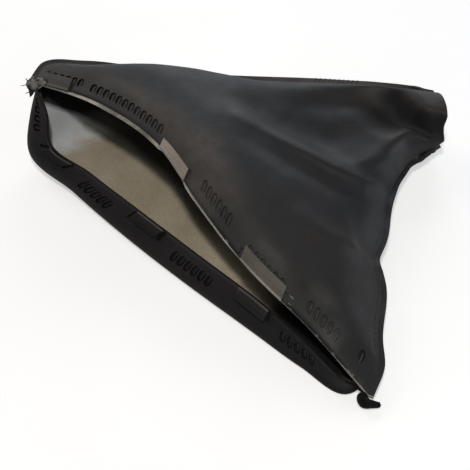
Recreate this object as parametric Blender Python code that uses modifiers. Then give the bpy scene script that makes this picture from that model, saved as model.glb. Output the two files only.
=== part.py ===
"""Handbrake gaiter of black leather, lying on its side with its wide mouth toward -Y.

Two leather panels are sewn together along a top seam and a right seam. They make a flattened
bag that narrows from a leaf-shaped mouth, about 235 mm long, to a collar about 30 mm across
that fits round the lever. A moulded strip with clips and slots lies on the outer face along
each lip of the mouth. X runs along the mouth, Y toward the collar, Z up, with the table at zero.
"""

import bmesh
import bpy
import numpy as np

MM = 0.001

# Overall size along X, Y and Z. The seams, rows, folds and tail further down are drawn for a
# gaiter of the drawn size, and are stretched from it to this one.
GAITER_LENGTH = 246.8
GAITER_DEPTH = 174.0
GAITER_HEIGHT = 52.2
DRAWN_LENGTH = 246.8
DRAWN_DEPTH = 174.0
DRAWN_HEIGHT = 52.2

# Leather
LEATHER_THICKNESS = 1.1
SEAM_MARGIN = 2.5
HEM_LENGTH = 10.0
HEM_THICKNESS = 2.2
TOUCHING_GAP = 0.3
RIM_STEP = 1.0
SEAM_RISE = 0.15

# Retaining strips
STRIP_WIDTH = 14.0
STRIP_THICKNESS = 1.3
SLOT_PITCH = 4.2
SLOT_WIDTH = 2.5
SLOT_FROM_LIP = 3.7
SLOT_LENGTH = 4.9
LEAST_STEP = 0.4
STRIP_LINES = (0.0, SLOT_FROM_LIP, SLOT_FROM_LIP + SLOT_LENGTH, STRIP_WIDTH)

# Clips, drawn in the plane across the strip: distance from the lip, height over the leather
CLIP_REACH = 7.5
CLIP_OVERHANG = 0.4
CLIP_ROOT = 1.8
CLIP_PLATE = 1.0
CLIP_RISE = 3.6
CLIP_BEND = 2.2
CLIP_SUNK = 1.1

# Stations of the panels
UPPER_COLUMNS = 38
LOWER_COLUMNS = 44
BODY_ROWS = 20
HEM_ROWS = 4
HEM_COLUMNS_LEFT_THIN = 5

# Seam lines from the mouth to the collar rim, in millimetres
TOP_SEAM = (
    (-133, -18, 39), (-137, -8, 41), (-129, 10, 37), (-106, 38, 30), (-92, 52, 28),
    (-77, 68, 27), (-48, 100, 25), (-23, 121, 26), (-12, 129, 28), (2, 136, 29),
)
RIGHT_SEAM = (
    (100, -11, 4.5), (93, 3, 7), (84, 11, 9), (64, 34, 11), (52, 42, 12),
    (44, 56, 12), (27, 79, 12), (16, 106, 10), (17, 116, 11), (18, 126, 14),
)

# Upper panel: lip, strip edge, ridge, four rows of the body, collar base, shoulder, rim
UPPER_ROWS = (
    ((-92, -7, 46), (-52, -4, 46.5), (-14, -11, 39.5), (25, -15, 30), (62, -12, 18.5)),
    ((-97, 5, 49), (-53, 9, 49.5), (-11, 1.5, 44.5), (27, -2.5, 36), (65, 0.5, 24)),
    ((-101, 18, 49.5), (-58, 23, 51), (-10, 16, 46), (30, 10, 37), (66, 8, 25)),
    ((-88, 44, 43), (-52, 50, 43), (-4, 45, 40), (34, 37, 31), (58, 28, 21)),
    ((-76, 57, 39), (-44, 62, 37), (-1, 55, 36), (31, 47, 28), (48, 38, 20)),
    ((-64, 71, 34), (-35, 74, 31), (2, 66, 32), (28, 60, 26), (40, 54, 19)),
    ((-40, 101, 29), (-24, 100, 25), (1, 95, 28), (14, 90, 24), (21, 84, 18)),
    ((-18, 119, 29), (-9, 117, 24), (0, 113, 23), (9, 110, 25), (14, 106, 18)),
    ((-7, 127, 33), (0, 124, 33), (8, 119, 25), (14, 117, 26), (18, 115, 19)),
    ((5, 136, 34), (12, 133, 34), (17, 128, 27), (21, 126, 26), (22, 125, 20)),
)

# Lower panel: lip, strip edge, fold under, four rows of the body, collar base, shoulder, rim
LOWER_ROWS = (
    ((-117, -23, 31), (-110, -28, 21), (-83, -24, 16), (-46, -21, 14.5),
     (-5, -18, 13.5), (36, -13.5, 12.5), (62, -12, 11), (82, -12, 7)),
    ((-127.5, -25, 25), (-121, -33, 12), (-86, -31, 5), (-47, -29.5, 3),
     (-5, -26.5, 2), (37, -22.5, 1.8), (63, -20, 1.4), (83, -17, 1)),
    ((-128, -4, 21), (-123, -16, 4), (-88, -18, 0), (-48, -14, 0),
     (-6, -11, 0), (37, -7, 0), (62, -5, 0), (76, -2, 0)),
    ((-111, 32, 16), (-104, 27, 4), (-76, 26, 0), (-42, 28, 0),
     (-4, 28, 0), (26, 27, 0), (44, 28, 0), (56, 30, 3)),
    ((-97, 48, 14), (-91, 44, 4), (-67, 43, 0), (-37, 43, 0),
     (-4, 42, 0), (21, 39, 0), (35, 38, 0), (45, 38, 4)),
    ((-81, 65, 13), (-76, 61, 4), (-57, 59, 0), (-32, 58, 0),
     (-4, 55, 0), (15, 52, 0), (28, 51, 0.5), (37, 53, 4)),
    ((-51, 98, 15), (-46, 95, 7), (-35, 93, 2), (-20, 90, 0),
     (-6, 86, 0), (5, 83, 0.5), (14, 81, 2), (21, 79, 5)),
    ((-27, 119, 19), (-24, 117, 11), (-17, 115, 5), (-10, 112, 2.5),
     (-3, 110, 1.5), (4, 108, 1.5), (10, 106, 3), (14, 104, 5)),
    ((-16, 129, 21), (-14, 127, 14), (-9, 125, 8), (-3, 122, 5),
     (3, 120, 4), (8, 118, 4), (13, 117, 5), (17, 115, 7)),
    ((-2, 138, 24), (-2.5, 138, 18), (0, 137, 12), (4, 135, 8.5),
     (8, 133, 7), (12, 130.5, 7), (16, 128, 7.5), (19, 126.5, 9.5)),
)

# Folds of the upper panel: line from and to in plan, width, height
UPPER_FOLDS = (
    ((-70, 36), (24, 76), 9, 2.5),
    ((-42, 92), (-12, 104), 9, -2.5),
    ((18, 30), (44, 50), 6, -1.2),
    ((30, 24), (60, 36), 5, 1.2),
    ((42, 10), (78, 20), 5, -1.0),
)

# Clips: the middle of each along the lip from the left corner, and its length
UPPER_CLIP_PLACES = (13.0, 98.5, 171.5)
UPPER_CLIP_LENGTHS = (20.0, 22.0, 27.0)
LOWER_CLIP_PLACES = (43.0, 106.0, 174.0)
LOWER_CLIP_LENGTHS = (15.0, 18.0, 19.0)

# Groups of slots: the place of the first of each group along the lip, and how many it has
UPPER_SLOT_PLACES = (6.2, 31.0, 121.5, 161.0, 199.0, 226.0)
UPPER_SLOT_COUNTS = (6, 12, 6, 6, 5, 3)
LOWER_SLOT_PLACES = (9.0, 64.0, 128.5, 194.0)
LOWER_SLOT_COUNTS = (5, 5, 6, 5)

# Bare lip left at the left and the right end of the upper and the lower strip
STRIP_ENDS = ((4.0, 4.0), (5.0, 20.0))

# Tail at the lower right corner
TAIL_PATH = ((99.9, -11.5, 3.7), (99.6, -15.2, 2.6), (102.5, -14.2, 2.0), (106.0, -9.5, 1.7))
TAIL_RADII = (1.1, 2.2, 1.8, 1.3)


def to_size(points):
    """Drawn points, in plan or in space, stretched to the gaiter's own size."""
    points = np.array(points, float)
    stretch = np.array([
        GAITER_LENGTH / DRAWN_LENGTH, GAITER_DEPTH / DRAWN_DEPTH, GAITER_HEIGHT / DRAWN_HEIGHT,
    ])
    return points * stretch[:points.shape[-1]]


def along_lip(places):
    """Drawn places along a lip, stretched with the gaiter's length."""
    return np.array(places) * GAITER_LENGTH / DRAWN_LENGTH


def curve_through(points, per_span=24):
    """Dense points on a smooth curve through the given ones."""
    points = np.asarray(points, float)
    chord = np.linalg.norm(np.diff(points, axis=0), axis=1)
    at = np.concatenate([[0.0], np.cumsum(chord)])
    slope = np.diff(points, axis=0) / chord[:, None]
    tangent = np.empty_like(points)
    tangent[0], tangent[-1] = slope[0], slope[-1]
    weight = (chord[:-1] / (chord[:-1] + chord[1:]))[:, None]
    tangent[1:-1] = slope[:-1] * (1 - weight) + slope[1:] * weight
    dense = [points[:1]]
    for i, length in enumerate(chord):
        t = np.linspace(0, 1, per_span + 1)[1:, None]
        dense.append(
            (2 * t**3 - 3 * t**2 + 1) * points[i]
            + (t**3 - 2 * t**2 + t) * tangent[i] * length
            + (3 * t**2 - 2 * t**3) * points[i + 1]
            + (t**3 - t**2) * tangent[i + 1] * length
        )
    return np.concatenate(dense)


def lengths_along(points):
    """Distance of each point from the first, along the line."""
    return np.concatenate([[0.0], np.cumsum(np.linalg.norm(np.diff(points, axis=0), axis=1))])


def at_distances(points, distances):
    """Points on a line at the given distances from its start."""
    along = lengths_along(points)
    return np.stack([np.interp(distances, along, points[:, k]) for k in range(3)], axis=1)


def unit(vectors):
    """Vectors of length one."""
    return vectors / np.linalg.norm(vectors, axis=-1, keepdims=True)


def seam_frames(seam, upper_beside, lower_beside):
    """For each row, the way out of the bag and the way from the lower panel to the upper."""
    tangent = unit(np.gradient(seam, axis=0))
    out = unit(seam - upper_beside) + unit(seam - lower_beside)
    out -= tangent * np.sum(out * tangent, axis=1, keepdims=True)
    out = unit(out)
    over = unit(np.cross(tangent, out))
    over *= np.sign(np.sum(over * (upper_beside - lower_beside), axis=1, keepdims=True))
    return out, over


def column_stations(column):
    """One column of a panel: the lines of the strip, then stations to the hem and the rim."""
    line = curve_through(column)
    edge = lengths_along(line)[np.argmin(np.linalg.norm(line - column[1], axis=1))]
    total = lengths_along(line)[-1]
    across = np.array(STRIP_LINES) * edge / STRIP_WIDTH
    to_hem = np.linspace(edge, total - HEM_LENGTH - RIM_STEP, BODY_ROWS + 1)[1:]
    hem = total - np.array([HEM_LENGTH, HEM_LENGTH / 2, RIM_STEP, 0.0])
    return at_distances(line, np.concatenate([across, to_hem, hem]))


def add_folds(grid, folds):
    """Raise or sink the surface along each fold, fading toward its ends."""
    for start, end, width, height in folds:
        start, end = to_size(start), to_size(end)
        run = end - start
        along = (grid[..., :2] - start) @ run / (run @ run)
        off = grid[..., :2] - start - np.clip(along, 0, 1)[..., None] * run
        near = np.exp(-np.sum(off**2, axis=-1) / width**2)
        grid[..., 2] += height * near


def panel_grid(rows, columns, side, seams, frames, folds):
    """Outer face of a panel, a row of points for each station from the lip to the rim.

    side is 1 for the upper panel and -1 for the lower one. The first and the last column lie
    in the seam margins, the next ones on the seam lines.
    """
    (top_out, top_over), (right_out, right_over) = frames
    away = side * (LEATHER_THICKNESS + TOUCHING_GAP / 2)
    guide = []
    for i, inner in enumerate(rows):
        left = seams[0][i] + top_over[i] * away
        right = seams[1][i] + right_over[i] * away
        line = curve_through([left, *inner, right])
        inside = at_distances(line, np.linspace(0, lengths_along(line)[-1], columns + 1))
        guide.append(np.concatenate([
            [left + top_out[i] * SEAM_MARGIN], inside, [right + right_out[i] * SEAM_MARGIN],
        ]))
    guide = np.array(guide)
    grid = np.array([column_stations(guide[:, j]) for j in range(guide.shape[1])])
    grid = grid.transpose(1, 0, 2)
    add_folds(grid[len(STRIP_LINES):, 2:-2], folds)
    keep_apart(grid, side, top_over, right_over)
    grid[..., 2] = np.maximum(grid[..., 2], 0.0)
    return grid


def keep_apart(grid, side, top_over, right_over):
    """Hold the columns beside each seam on their own side of the seam's middle plane."""
    rows = np.linspace(0, 1, len(grid))
    given = np.linspace(0, 1, len(top_over))
    for seam_column, step, over in ((1, 1, top_over), (-2, -1, right_over)):
        over = unit(np.stack([np.interp(rows, given, over[:, k]) for k in range(3)], axis=1))
        for n in range(1, 6):
            beside = grid[:, seam_column + step * n]
            height = np.sum((beside - grid[:, seam_column]) * over, axis=1) * side
            beside += over * (side * np.maximum(SEAM_RISE * n - height, 0))[:, None]


def mesh_object(name, points, faces, parent):
    """An object with the mesh, its points given in millimetres."""
    mesh = bpy.data.meshes.new(name)
    mesh.from_pydata([tuple(p * MM) for p in points], [], faces)
    mesh.update()
    obj = bpy.data.objects.new(name, mesh)
    parts.objects.link(obj)
    obj.parent = parent
    return obj


def grid_faces(rows, columns, flip, left_out=()):
    """Quads of a grid of points, without the cells that are left out."""
    faces = []
    for i in range(rows - 1):
        for j in range(columns - 1):
            if (i, j) in left_out:
                continue
            a, b = i * columns + j, i * columns + j + 1
            c, d = b + columns, a + columns
            faces.append((d, c, b, a) if flip else (a, b, c, d))
    return faces


def panel(name, grid, side, parent):
    """A leather panel: its outer face thickened inward, thicker at the turned-in hem."""
    rows, columns = grid.shape[:2]
    obj = mesh_object(name, grid.reshape(-1, 3), grid_faces(rows, columns, side < 0), parent)
    hem = obj.vertex_groups.new(name="thickness")
    thin = HEM_COLUMNS_LEFT_THIN
    for i in range(rows):
        for j in range(columns):
            turned = i >= rows - HEM_ROWS and thin <= j < columns - thin
            share = 1.0 if turned else LEATHER_THICKNESS / HEM_THICKNESS
            hem.add([i * columns + j], share, "REPLACE")
    solid = obj.modifiers.new("leather", "SOLIDIFY")
    solid.thickness = HEM_THICKNESS * MM
    solid.offset = -1
    solid.vertex_group = hem.name
    solid.use_even_offset = False
    return obj


def strip_frames(grid, side, stations):
    """Points on the leather at the stations along the lip, a row for each line of the strip,
    with the way outward at each point."""
    band = grid[:len(STRIP_LINES), 1:-1]
    along = lengths_along(band[0])
    normal = np.cross(np.gradient(band, axis=1), np.gradient(band, axis=0))
    normal = unit(normal) * side

    def at(values):
        return np.array([[np.interp(stations, along, row[:, k]) for k in range(3)]
                         for row in values]).transpose(0, 2, 1)

    return at(band), unit(at(normal))


def strip_stations(along, groups, ends):
    """Places along the lip where the strip has edges, and the steps that are slots.

    The columns of the panel are among them, so the strip bends where the leather bends.
    """
    slots = [
        (first + n * SLOT_PITCH - SLOT_WIDTH / 2, first + n * SLOT_PITCH + SLOT_WIDTH / 2)
        for first, count in groups
        for n in range(count)
    ]
    places = [ends[0], along[-1] - ends[1]]
    for sides in slots:
        places += sides
    fixed = np.array(places)
    places += [p for p in along if ends[0] < p < fixed[1] and np.abs(fixed - p).min() > LEAST_STEP]
    places = np.sort(places)
    middles = (places[1:] + places[:-1]) / 2
    holes = [j for j, m in enumerate(middles) if any(low < m < high for low, high in slots)]
    return places, holes


def strip(name, grid, groups, ends, side, parent):
    """A retaining strip: a band laid over the outer face of the lip, with slots through it."""
    places, slots = strip_stations(lengths_along(grid[0, 1:-1]), groups, ends)
    under, outward = strip_frames(grid, side, places)
    points = under + outward * TOUCHING_GAP
    holes = {(1, j) for j in slots}
    faces = grid_faces(len(STRIP_LINES), len(places), side < 0, holes)
    obj = mesh_object(name, points.reshape(-1, 3), faces, parent)
    solid = obj.modifiers.new("moulding", "SOLIDIFY")
    solid.thickness = STRIP_THICKNESS * MM
    solid.offset = 1
    return obj


def clip(name, grid, side, middle, length):
    """One clip: a plate that rises from the lip and leaves a gap under it."""
    places = np.linspace(middle - length / 2, middle + length / 2, 3)
    under, normal = strip_frames(grid, side, places)
    start, across, outward = under[0], unit(under[1] - under[0]), normal[0]
    strip_top = TOUCHING_GAP + STRIP_THICKNESS
    profile = (
        (-CLIP_OVERHANG, strip_top - CLIP_SUNK),
        (CLIP_ROOT, strip_top - CLIP_SUNK),
        (CLIP_ROOT, strip_top - CLIP_SUNK + CLIP_PLATE),
        (CLIP_REACH, CLIP_RISE - CLIP_PLATE),
        (CLIP_REACH, CLIP_RISE),
        (-CLIP_OVERHANG, CLIP_BEND),
    )
    points = np.array([[s + a * w + o * h for w, h in profile]
                       for s, a, o in zip(start, across, outward)])
    count = len(profile)
    faces = []
    for i in range(len(places) - 1):
        for j in range(count):
            a, b = i * count + j, i * count + (j + 1) % count
            faces.append((a, b, b + count, a + count))
    last = (len(places) - 1) * count
    faces += [tuple(range(count)), tuple(last + j for j in reversed(range(count)))]
    obj = mesh_object(name, points.reshape(-1, 3), faces, root)
    parts.objects.unlink(obj)
    cutters.objects.link(obj)
    obj.hide_render = True
    obj.display_type = "WIRE"
    outward_faces(obj.data)
    return obj


def outward_faces(mesh):
    """Turn the faces of a closed mesh outward."""
    work = bmesh.new()
    work.from_mesh(mesh)
    bmesh.ops.recalc_face_normals(work, faces=work.faces)
    work.to_mesh(mesh)
    work.free()


def join_solid(target, tool):
    """Make the tool one with the target."""
    union = target.modifiers.new(tool.name, "BOOLEAN")
    union.operation = "UNION"
    union.solver = "EXACT"
    union.object = tool


def material(name, colour, roughness, metallic=0.0):
    """A surface with one colour, given as sRGB values from 0 to 1."""
    made = bpy.data.materials.new(name)
    made.use_nodes = True
    shader = made.node_tree.nodes["Principled BSDF"]
    linear = [c / 12.92 if c <= 0.04045 else ((c + 0.055) / 1.055) ** 2.4 for c in colour]
    shader.inputs["Base Color"].default_value = (*linear, 1)
    shader.inputs["Roughness"].default_value = roughness
    shader.inputs["Metallic"].default_value = metallic
    return made


def tail(name, parent):
    """A short limp tail: a round cord along its path, thicker in the middle."""
    curve = bpy.data.curves.new(name, "CURVE")
    curve.dimensions = "3D"
    curve.bevel_depth = MM
    curve.bevel_resolution = 2
    curve.resolution_u = 5
    curve.use_fill_caps = True
    spline = curve.splines.new("NURBS")
    spline.points.add(len(TAIL_PATH) - 1)
    for point, place, radius in zip(spline.points, to_size(TAIL_PATH), TAIL_RADII):
        point.co = (*(c * MM for c in place), 1)
        point.radius = radius
    spline.use_endpoint_u = True
    spline.order_u = 3
    obj = bpy.data.objects.new(name, curve)
    parts.objects.link(obj)
    obj.parent = parent
    return obj


# A clean scene
for obj in list(bpy.data.objects):
    bpy.data.objects.remove(obj)

parts = bpy.data.collections.new("handbrake_gaiter")
cutters = bpy.data.collections.new("cutters")
bpy.context.scene.collection.children.link(parts)
bpy.context.scene.collection.children.link(cutters)

root = bpy.data.objects.new("gaiter_root", None)
parts.objects.link(root)

# Panels
upper_rows = to_size(UPPER_ROWS)
lower_rows = to_size(LOWER_ROWS)
seams = (to_size(TOP_SEAM), to_size(RIGHT_SEAM))
frames = (
    seam_frames(seams[0], upper_rows[:, 0], lower_rows[:, 0]),
    seam_frames(seams[1], upper_rows[:, -1], lower_rows[:, -1]),
)
upper_grid = panel_grid(upper_rows, UPPER_COLUMNS, 1, seams, frames, UPPER_FOLDS)
lower_grid = panel_grid(lower_rows, LOWER_COLUMNS, -1, seams, frames, ())
upper_panel = panel("upper_panel", upper_grid, 1, root)
lower_panel = panel("lower_panel", lower_grid, -1, root)

# Strips with their clips
upper_slots = list(zip(along_lip(UPPER_SLOT_PLACES), UPPER_SLOT_COUNTS))
lower_slots = list(zip(along_lip(LOWER_SLOT_PLACES), LOWER_SLOT_COUNTS))
upper_strip = strip("upper_strip", upper_grid, upper_slots, STRIP_ENDS[0], 1, root)
lower_strip = strip("lower_strip", lower_grid, lower_slots, STRIP_ENDS[1], -1, root)
for n, (middle, length) in enumerate(zip(along_lip(UPPER_CLIP_PLACES), UPPER_CLIP_LENGTHS)):
    join_solid(upper_strip, clip(f"upper_clip_{n + 1}", upper_grid, 1, middle, length))
for n, (middle, length) in enumerate(zip(along_lip(LOWER_CLIP_PLACES), LOWER_CLIP_LENGTHS)):
    join_solid(lower_strip, clip(f"lower_clip_{n + 1}", lower_grid, -1, middle, length))

# Tail
corner_tail = tail("corner_tail", root)

# Surfaces
leather = material("black_leather", (0.20, 0.20, 0.21), 0.55)
plastic = material("black_plastic", (0.13, 0.12, 0.13), 0.45)
thread = material("black_cord", (0.06, 0.05, 0.05), 0.8)
for obj, surface in (
    (upper_panel, leather),
    (lower_panel, leather),
    (upper_strip, plastic),
    (lower_strip, plastic),
    (corner_tail, thread),
):
    obj.data.materials.append(surface)

# The gaiter's middle in plan goes over the origin
graph = bpy.context.evaluated_depsgraph_get()
corners = np.concatenate([
    [vertex.co[:2] for vertex in obj.evaluated_get(graph).to_mesh().vertices]
    for obj in (upper_panel, lower_panel, upper_strip, lower_strip, corner_tail)
])
middle = (corners.min(axis=0) + corners.max(axis=0)) / 2
root.location = (-middle[0], -middle[1], 0)
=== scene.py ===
"""Handbrake gaiter of black leather lying on its side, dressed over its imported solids."""

import math

import bpy
import numpy as np
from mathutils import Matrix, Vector


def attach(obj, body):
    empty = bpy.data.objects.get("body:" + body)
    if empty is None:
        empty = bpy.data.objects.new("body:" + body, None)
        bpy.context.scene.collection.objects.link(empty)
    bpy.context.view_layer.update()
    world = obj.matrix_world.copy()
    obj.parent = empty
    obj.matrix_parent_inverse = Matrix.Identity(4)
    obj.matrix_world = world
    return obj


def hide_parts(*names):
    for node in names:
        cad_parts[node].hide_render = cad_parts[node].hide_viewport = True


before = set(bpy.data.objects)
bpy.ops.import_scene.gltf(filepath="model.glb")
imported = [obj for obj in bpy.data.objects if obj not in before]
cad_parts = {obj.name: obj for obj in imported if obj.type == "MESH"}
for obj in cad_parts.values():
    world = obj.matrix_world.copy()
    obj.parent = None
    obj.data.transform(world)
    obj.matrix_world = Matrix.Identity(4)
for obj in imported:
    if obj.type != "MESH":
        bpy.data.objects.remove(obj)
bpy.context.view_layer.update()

# Upper panel. A cut piece of soft black leather, grained outside and pale and rough on its
# flesh side. The lip is left raw, the collar end is turned in as a hem, and the two sides are
# sewn to the lower panel, so it sags and creases between the seams. Lengths are millimetres.
LEATHER = 1.1
HEM = 2.2
HEM_LENGTH = 10.0
SEAM_MARGIN = 2.5
PANEL_GAP = 0.3
# From the plan drawing's own origin to the middle of the gaiter, where the frame has its origin
PLAN_SHIFT = np.array([16.362, -51.144, 0.0])
POINTS_PER_SPAN = 24

TOP_SEAM = np.array([
    (-133, -18, 39), (-137, -8, 41), (-129, 10, 37), (-106, 38, 30), (-92, 52, 28),
    (-77, 68, 27), (-48, 100, 25), (-23, 121, 26), (-12, 129, 28), (2, 136, 29),
], float)
RIGHT_SEAM = np.array([
    (100, -11, 4.5), (93, 3, 7), (84, 11, 9), (64, 34, 11), (52, 42, 12),
    (44, 56, 12), (27, 79, 12), (16, 106, 10), (17, 116, 10.5), (18, 126, 11.8),
], float)

# Rows from the lip to the collar: lip, strip edge, ridge, four of the body, base, shoulder, rim
UPPER_ROWS = np.array([
    ((-92, -7, 46), (-52, -4, 46.5), (-14, -11, 39.5), (25, -15, 30), (62, -12, 18.5)),
    ((-97, 5, 49), (-53, 9, 49.5), (-11, 1.5, 44.5), (27, -2.5, 36), (65, 0.5, 24)),
    ((-101, 18, 49.5), (-58, 23, 51), (-10, 16, 46), (30, 10, 37), (66, 8, 25)),
    ((-88, 44, 43), (-52, 50, 43), (-4, 45, 40), (34, 37, 31), (58, 28, 21)),
    ((-76, 57, 39), (-44, 62, 37), (-1, 55, 36), (31, 47, 28), (48, 38, 20)),
    ((-64, 71, 34), (-35, 74, 31), (2, 66, 32), (28, 60, 26), (40, 54, 19)),
    ((-40, 101, 29), (-24, 100, 25), (1, 95, 28), (14, 90, 24), (21, 84, 18)),
    ((-19, 121, 29), (-10, 118, 23), (0, 113, 21), (9, 110, 24), (14, 106, 18)),
    ((-5, 126, 32.5), (2, 122, 33.5), (9, 118.5, 33), (12.8, 117, 26), (17, 115, 19.5)),
    ((5, 136, 32.0), (13, 132, 33.6), (19.5, 126.8, 31), (19.6, 125.2, 25), (21.8, 124.2, 17.5)),
], float)
LOWER_ROWS = np.array([
    ((-117, -23, 31), (-110, -28, 21), (-83, -24, 16), (-46, -21, 14.5),
     (-5, -18, 13.5), (36, -14.3, 11.4), (62, -13.6, 9.2), (86, -13.2, 5.2)),
    ((-127.5, -25, 25), (-121, -33, 12), (-86, -31, 5), (-47, -29.5, 3),
     (-5, -26.5, 2), (37, -22.5, 1.8), (67, -19.5, 1.4), (91, -14.8, 1.6)),
    ((-128, -4, 21), (-123, -16, 4), (-88, -18, 0), (-48, -14, 0),
     (-6, -11, 0), (37, -7, 0), (62, -5, 0), (76, -2, 0)),
    ((-111, 32, 16), (-104, 27, 4), (-76, 26, 0), (-42, 28, 0),
     (-4, 28, 0), (26, 27, 0), (44, 28, 0), (56, 30, 3)),
    ((-97, 48, 14), (-91, 44, 4), (-67, 43, 0), (-37, 43, 0),
     (-4, 42, 0), (21, 39, 0), (35, 38, 0), (45, 38, 4)),
    ((-81, 65, 13), (-76, 61, 4), (-57, 59, 0), (-32, 58, 0),
     (-4, 55, 0), (15, 52, 0), (28, 51, 0.5), (37, 53, 4)),
    ((-51, 98, 15), (-46, 95, 7), (-35, 93, 2), (-20, 90, 0),
     (-6, 86, 0), (5, 83, 0.5), (14, 81, 2), (21, 79, 5)),
    ((-27, 119, 19), (-24, 117, 11), (-17, 115, 5), (-10, 112, 2.5),
     (-3, 110, 1.5), (4, 108, 1.5), (10, 106, 3), (14, 104, 5)),
    ((-16, 129, 21), (-14, 127, 14), (-9, 125, 8), (-3, 122, 5),
     (3, 120, 4), (8, 118, 4), (13, 117, 5), (17, 115, 7)),
    ((-2, 138, 24), (-2.5, 138, 18), (0, 137, 12), (4, 135, 8.5),
     (8, 133, 7), (12, 130.5, 7), (16, 128, 7.2), (18.6, 127, 8.8)),
], float)

# Folds, each a line of points in plan with the half width and height of the fold there
UPPER_FOLDS = (
    ((-58, 48, 7, 0), (-44, 53, 10, -3.0), (-30, 56, 14, -5.2), (-10, 70, 15, -6.2),
     (-2, 90, 12, -4.6), (-4, 108, 8, -2.2)),
    ((-60, 64, 6, 0), (-44, 84, 7, 1), (-22, 114, 6, 1), (-13, 123, 5, 0)),
    ((-53, 35, 7, 0), (-39, 38, 7.5, 1.6), (-26, 42, 7, 2.8), (-7, 48, 6.5, 3.3),
     (11, 58, 6, 3.2), (23, 64, 5, 2.4), (28, 73, 5, 0.5)),
    ((-24, 30, 6, -0.5), (-3, 37, 6, -1.4), (17, 47, 5.5, -1.7), (33, 64, 6, -1.0)),
    ((-8, 122, 4, -1.2), (0, 118, 4, -3.2), (9, 116, 3.5, -3.8), (15, 119, 3, -3.6),
     (18, 123, 2.5, -2.6)),
    ((11, 75, 5, 0), (19, 75, 5, -1.5), (23, 82, 5, -1.6), (24, 83, 4, -0.6)),
    ((19, 83, 5, -0.8), (16, 96, 5, -2.0)),
    ((14, 17, 6, 0), (39, 24, 5.5, 1.6), (50, 33, 5, 2.0), (57, 39, 5, 2.0)),
    ((20, 2, 7, 0), (48, 12, 7, -0.7), (60, 17, 7, -0.9), (68, 26, 6, -0.8)),
)
# Sharp creases, written the same way, pressed in along the way out of the leather
UPPER_CREASES = (
    ((-0.3, 118.5, 2.0, -0.4), (5.0, 116.0, 1.7, -1.3), (10.9, 116.2, 1.6, -1.5),
     (15.8, 119.4, 1.6, -0.4)),
    ((-38.6, 30.8, 2.5, 0), (-22.4, 38.0, 2.4, -0.35), (-4.8, 44.0, 2.2, -0.55),
     (10.6, 51.5, 2.0, -0.6), (27.5, 63.6, 1.8, -0.5), (30.5, 69.7, 2, -0.2)),
)
# Light and shade painted on the grain side, written the same way: a height above zero is a painted
# highlight, one below zero painted shade, where the finish is also made rougher
# Painted highlight along the margins of the top seam
SEAM_PAINTED_HIGHLIGHT = (
    ((-133, -18, 3, 0.2), (-137, -8, 3, 0.3), (-129, 10, 3, 0.4), (-106, 38, 3, 0.45),
     (-77, 68, 3, 0.45), (-48, 100, 3, 0.45), (-23, 121, 2.5, 0.4), (-12, 129, 2.5, 0.3),
     (0, 135, 2.5, 0.2)),
)
# Painted shade by the lower lip toward the right corner
LOWER_PAINTED_SHADE = (
    ((14, -18, 5, -0.3), (36, -16, 6, -0.9), (62, -15, 7, -1.1), (90, -14, 6, -1.1)),
)
# Painted shade in the upper panel's creases and troughs and by the strip near the right corner;
# painted highlight on the ridge behind the strip, by the collar and by the lip
UPPER_PAINTED_LIGHT_AND_SHADE = (
    ((5.0, 116.0, 2.5, -0.8), (15.8, 119.4, 2.5, -1.0), (19.1, 125.0, 2.5, -0.8)),
    ((-21.6, 37.8, 2.5, -0.2), (-4.1, 43.8, 2.5, -0.4), (11.3, 51.3, 2.5, -0.4),
     (29.1, 68.1, 2.5, -0.3)),
    ((41.0, -2.1, 5, -0.6), (51.6, -4.4, 6, -1.0), (65.0, -3.0, 5, -0.6)),
    ((-110.2, 8.0, 6, -0.3), (-86.1, 20.6, 7, -0.5), (-68.7, 38.3, 6, -0.3)),
    ((8.1, 127.5, 4, 0.35), (15.7, 125.5, 4, 0.35)),
    ((-106, 4, 5, 0.2), (-86, 8, 6, 0.6), (-59, 9, 8, 0.6), (-30, 8, 10, 0.9), (-11, 3, 8, 0.5),
     (10, -1, 6, 0.1)),
    ((-49, 55, 6, -0.3), (-31, 72, 8, -0.9), (-18, 80, 9, -1.0), (-12, 101, 8, -1.0),
     (-11, 120, 6, -0.8)),
    ((-3, 69, 6, -0.4), (0, 76, 7, -0.8), (2, 90, 6, -0.5)),
    ((76, 1, 7, -0.4), (83, -5, 9, -0.9), (89, -8, 7, -0.6)),
    ((-32, -4, 4, 0.1), (-20, -7, 6, 0.6), (-6, -9, 5, 0.3)),
    ((-10, 121, 5, -0.8), (-1, 118, 5, -1.3), (9, 116, 4, -1.3), (15, 119, 3, -1.2),
     (18, 124, 3, -1.2)),
    ((15, 73, 5, -0.5), (20, 77, 6, -0.9), (23, 85, 5, -0.6)),
)
# Lines across the band under the strip, then how finely the rest and the hem are divided
BAND_WIDTH = 14.0
BAND = np.append(np.linspace(0, 13.3, 9), BAND_WIDTH)
UPPER_COLUMNS = 240
BODY_ROWS = 96
RIM_ROWS = 12
EASING_ROUNDS = 14
# Rows beyond the strip over which the folds and the unevenness set in
FOLD_ROWS = 6
UNEVEN_ROWS = 10
# Unevenness of the hide: height, length of a wave and seed, and how far the seams hold it flat
UNEVEN = ((0.17, 34, 4), (0.06, 14, 9))
UNEVEN_WAVES = 14
HELD_FLAT = 14.0
# The leather's rise to the strip's far edge, how far it runs out, and how it ends
STRIP_RISE = 1.05
RISE_RUN = 16.0
RISE_END = 2.5
RISE_BY_SEAM = 6.0
# The panels open at least this far from a seam, in step with the columns, over a part of them
SEAM_OPENING = 5.7
SEAM_PART = 7
# The seam margins narrow by this share over the last rows before the collar's rim
MARGIN_LOSS = 0.7
MARGIN_LOSS_FROM = 26
MARGIN_LOSS_ROWS = 22
# Columns from the seams where the hem thickens, and where the flesh side is dyed
HEM_FROM_COLUMN = 14
HEM_OVER_COLUMNS = 12
DYED_COLUMNS = (5, 7)
SHARP_FOLD = 28


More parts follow.
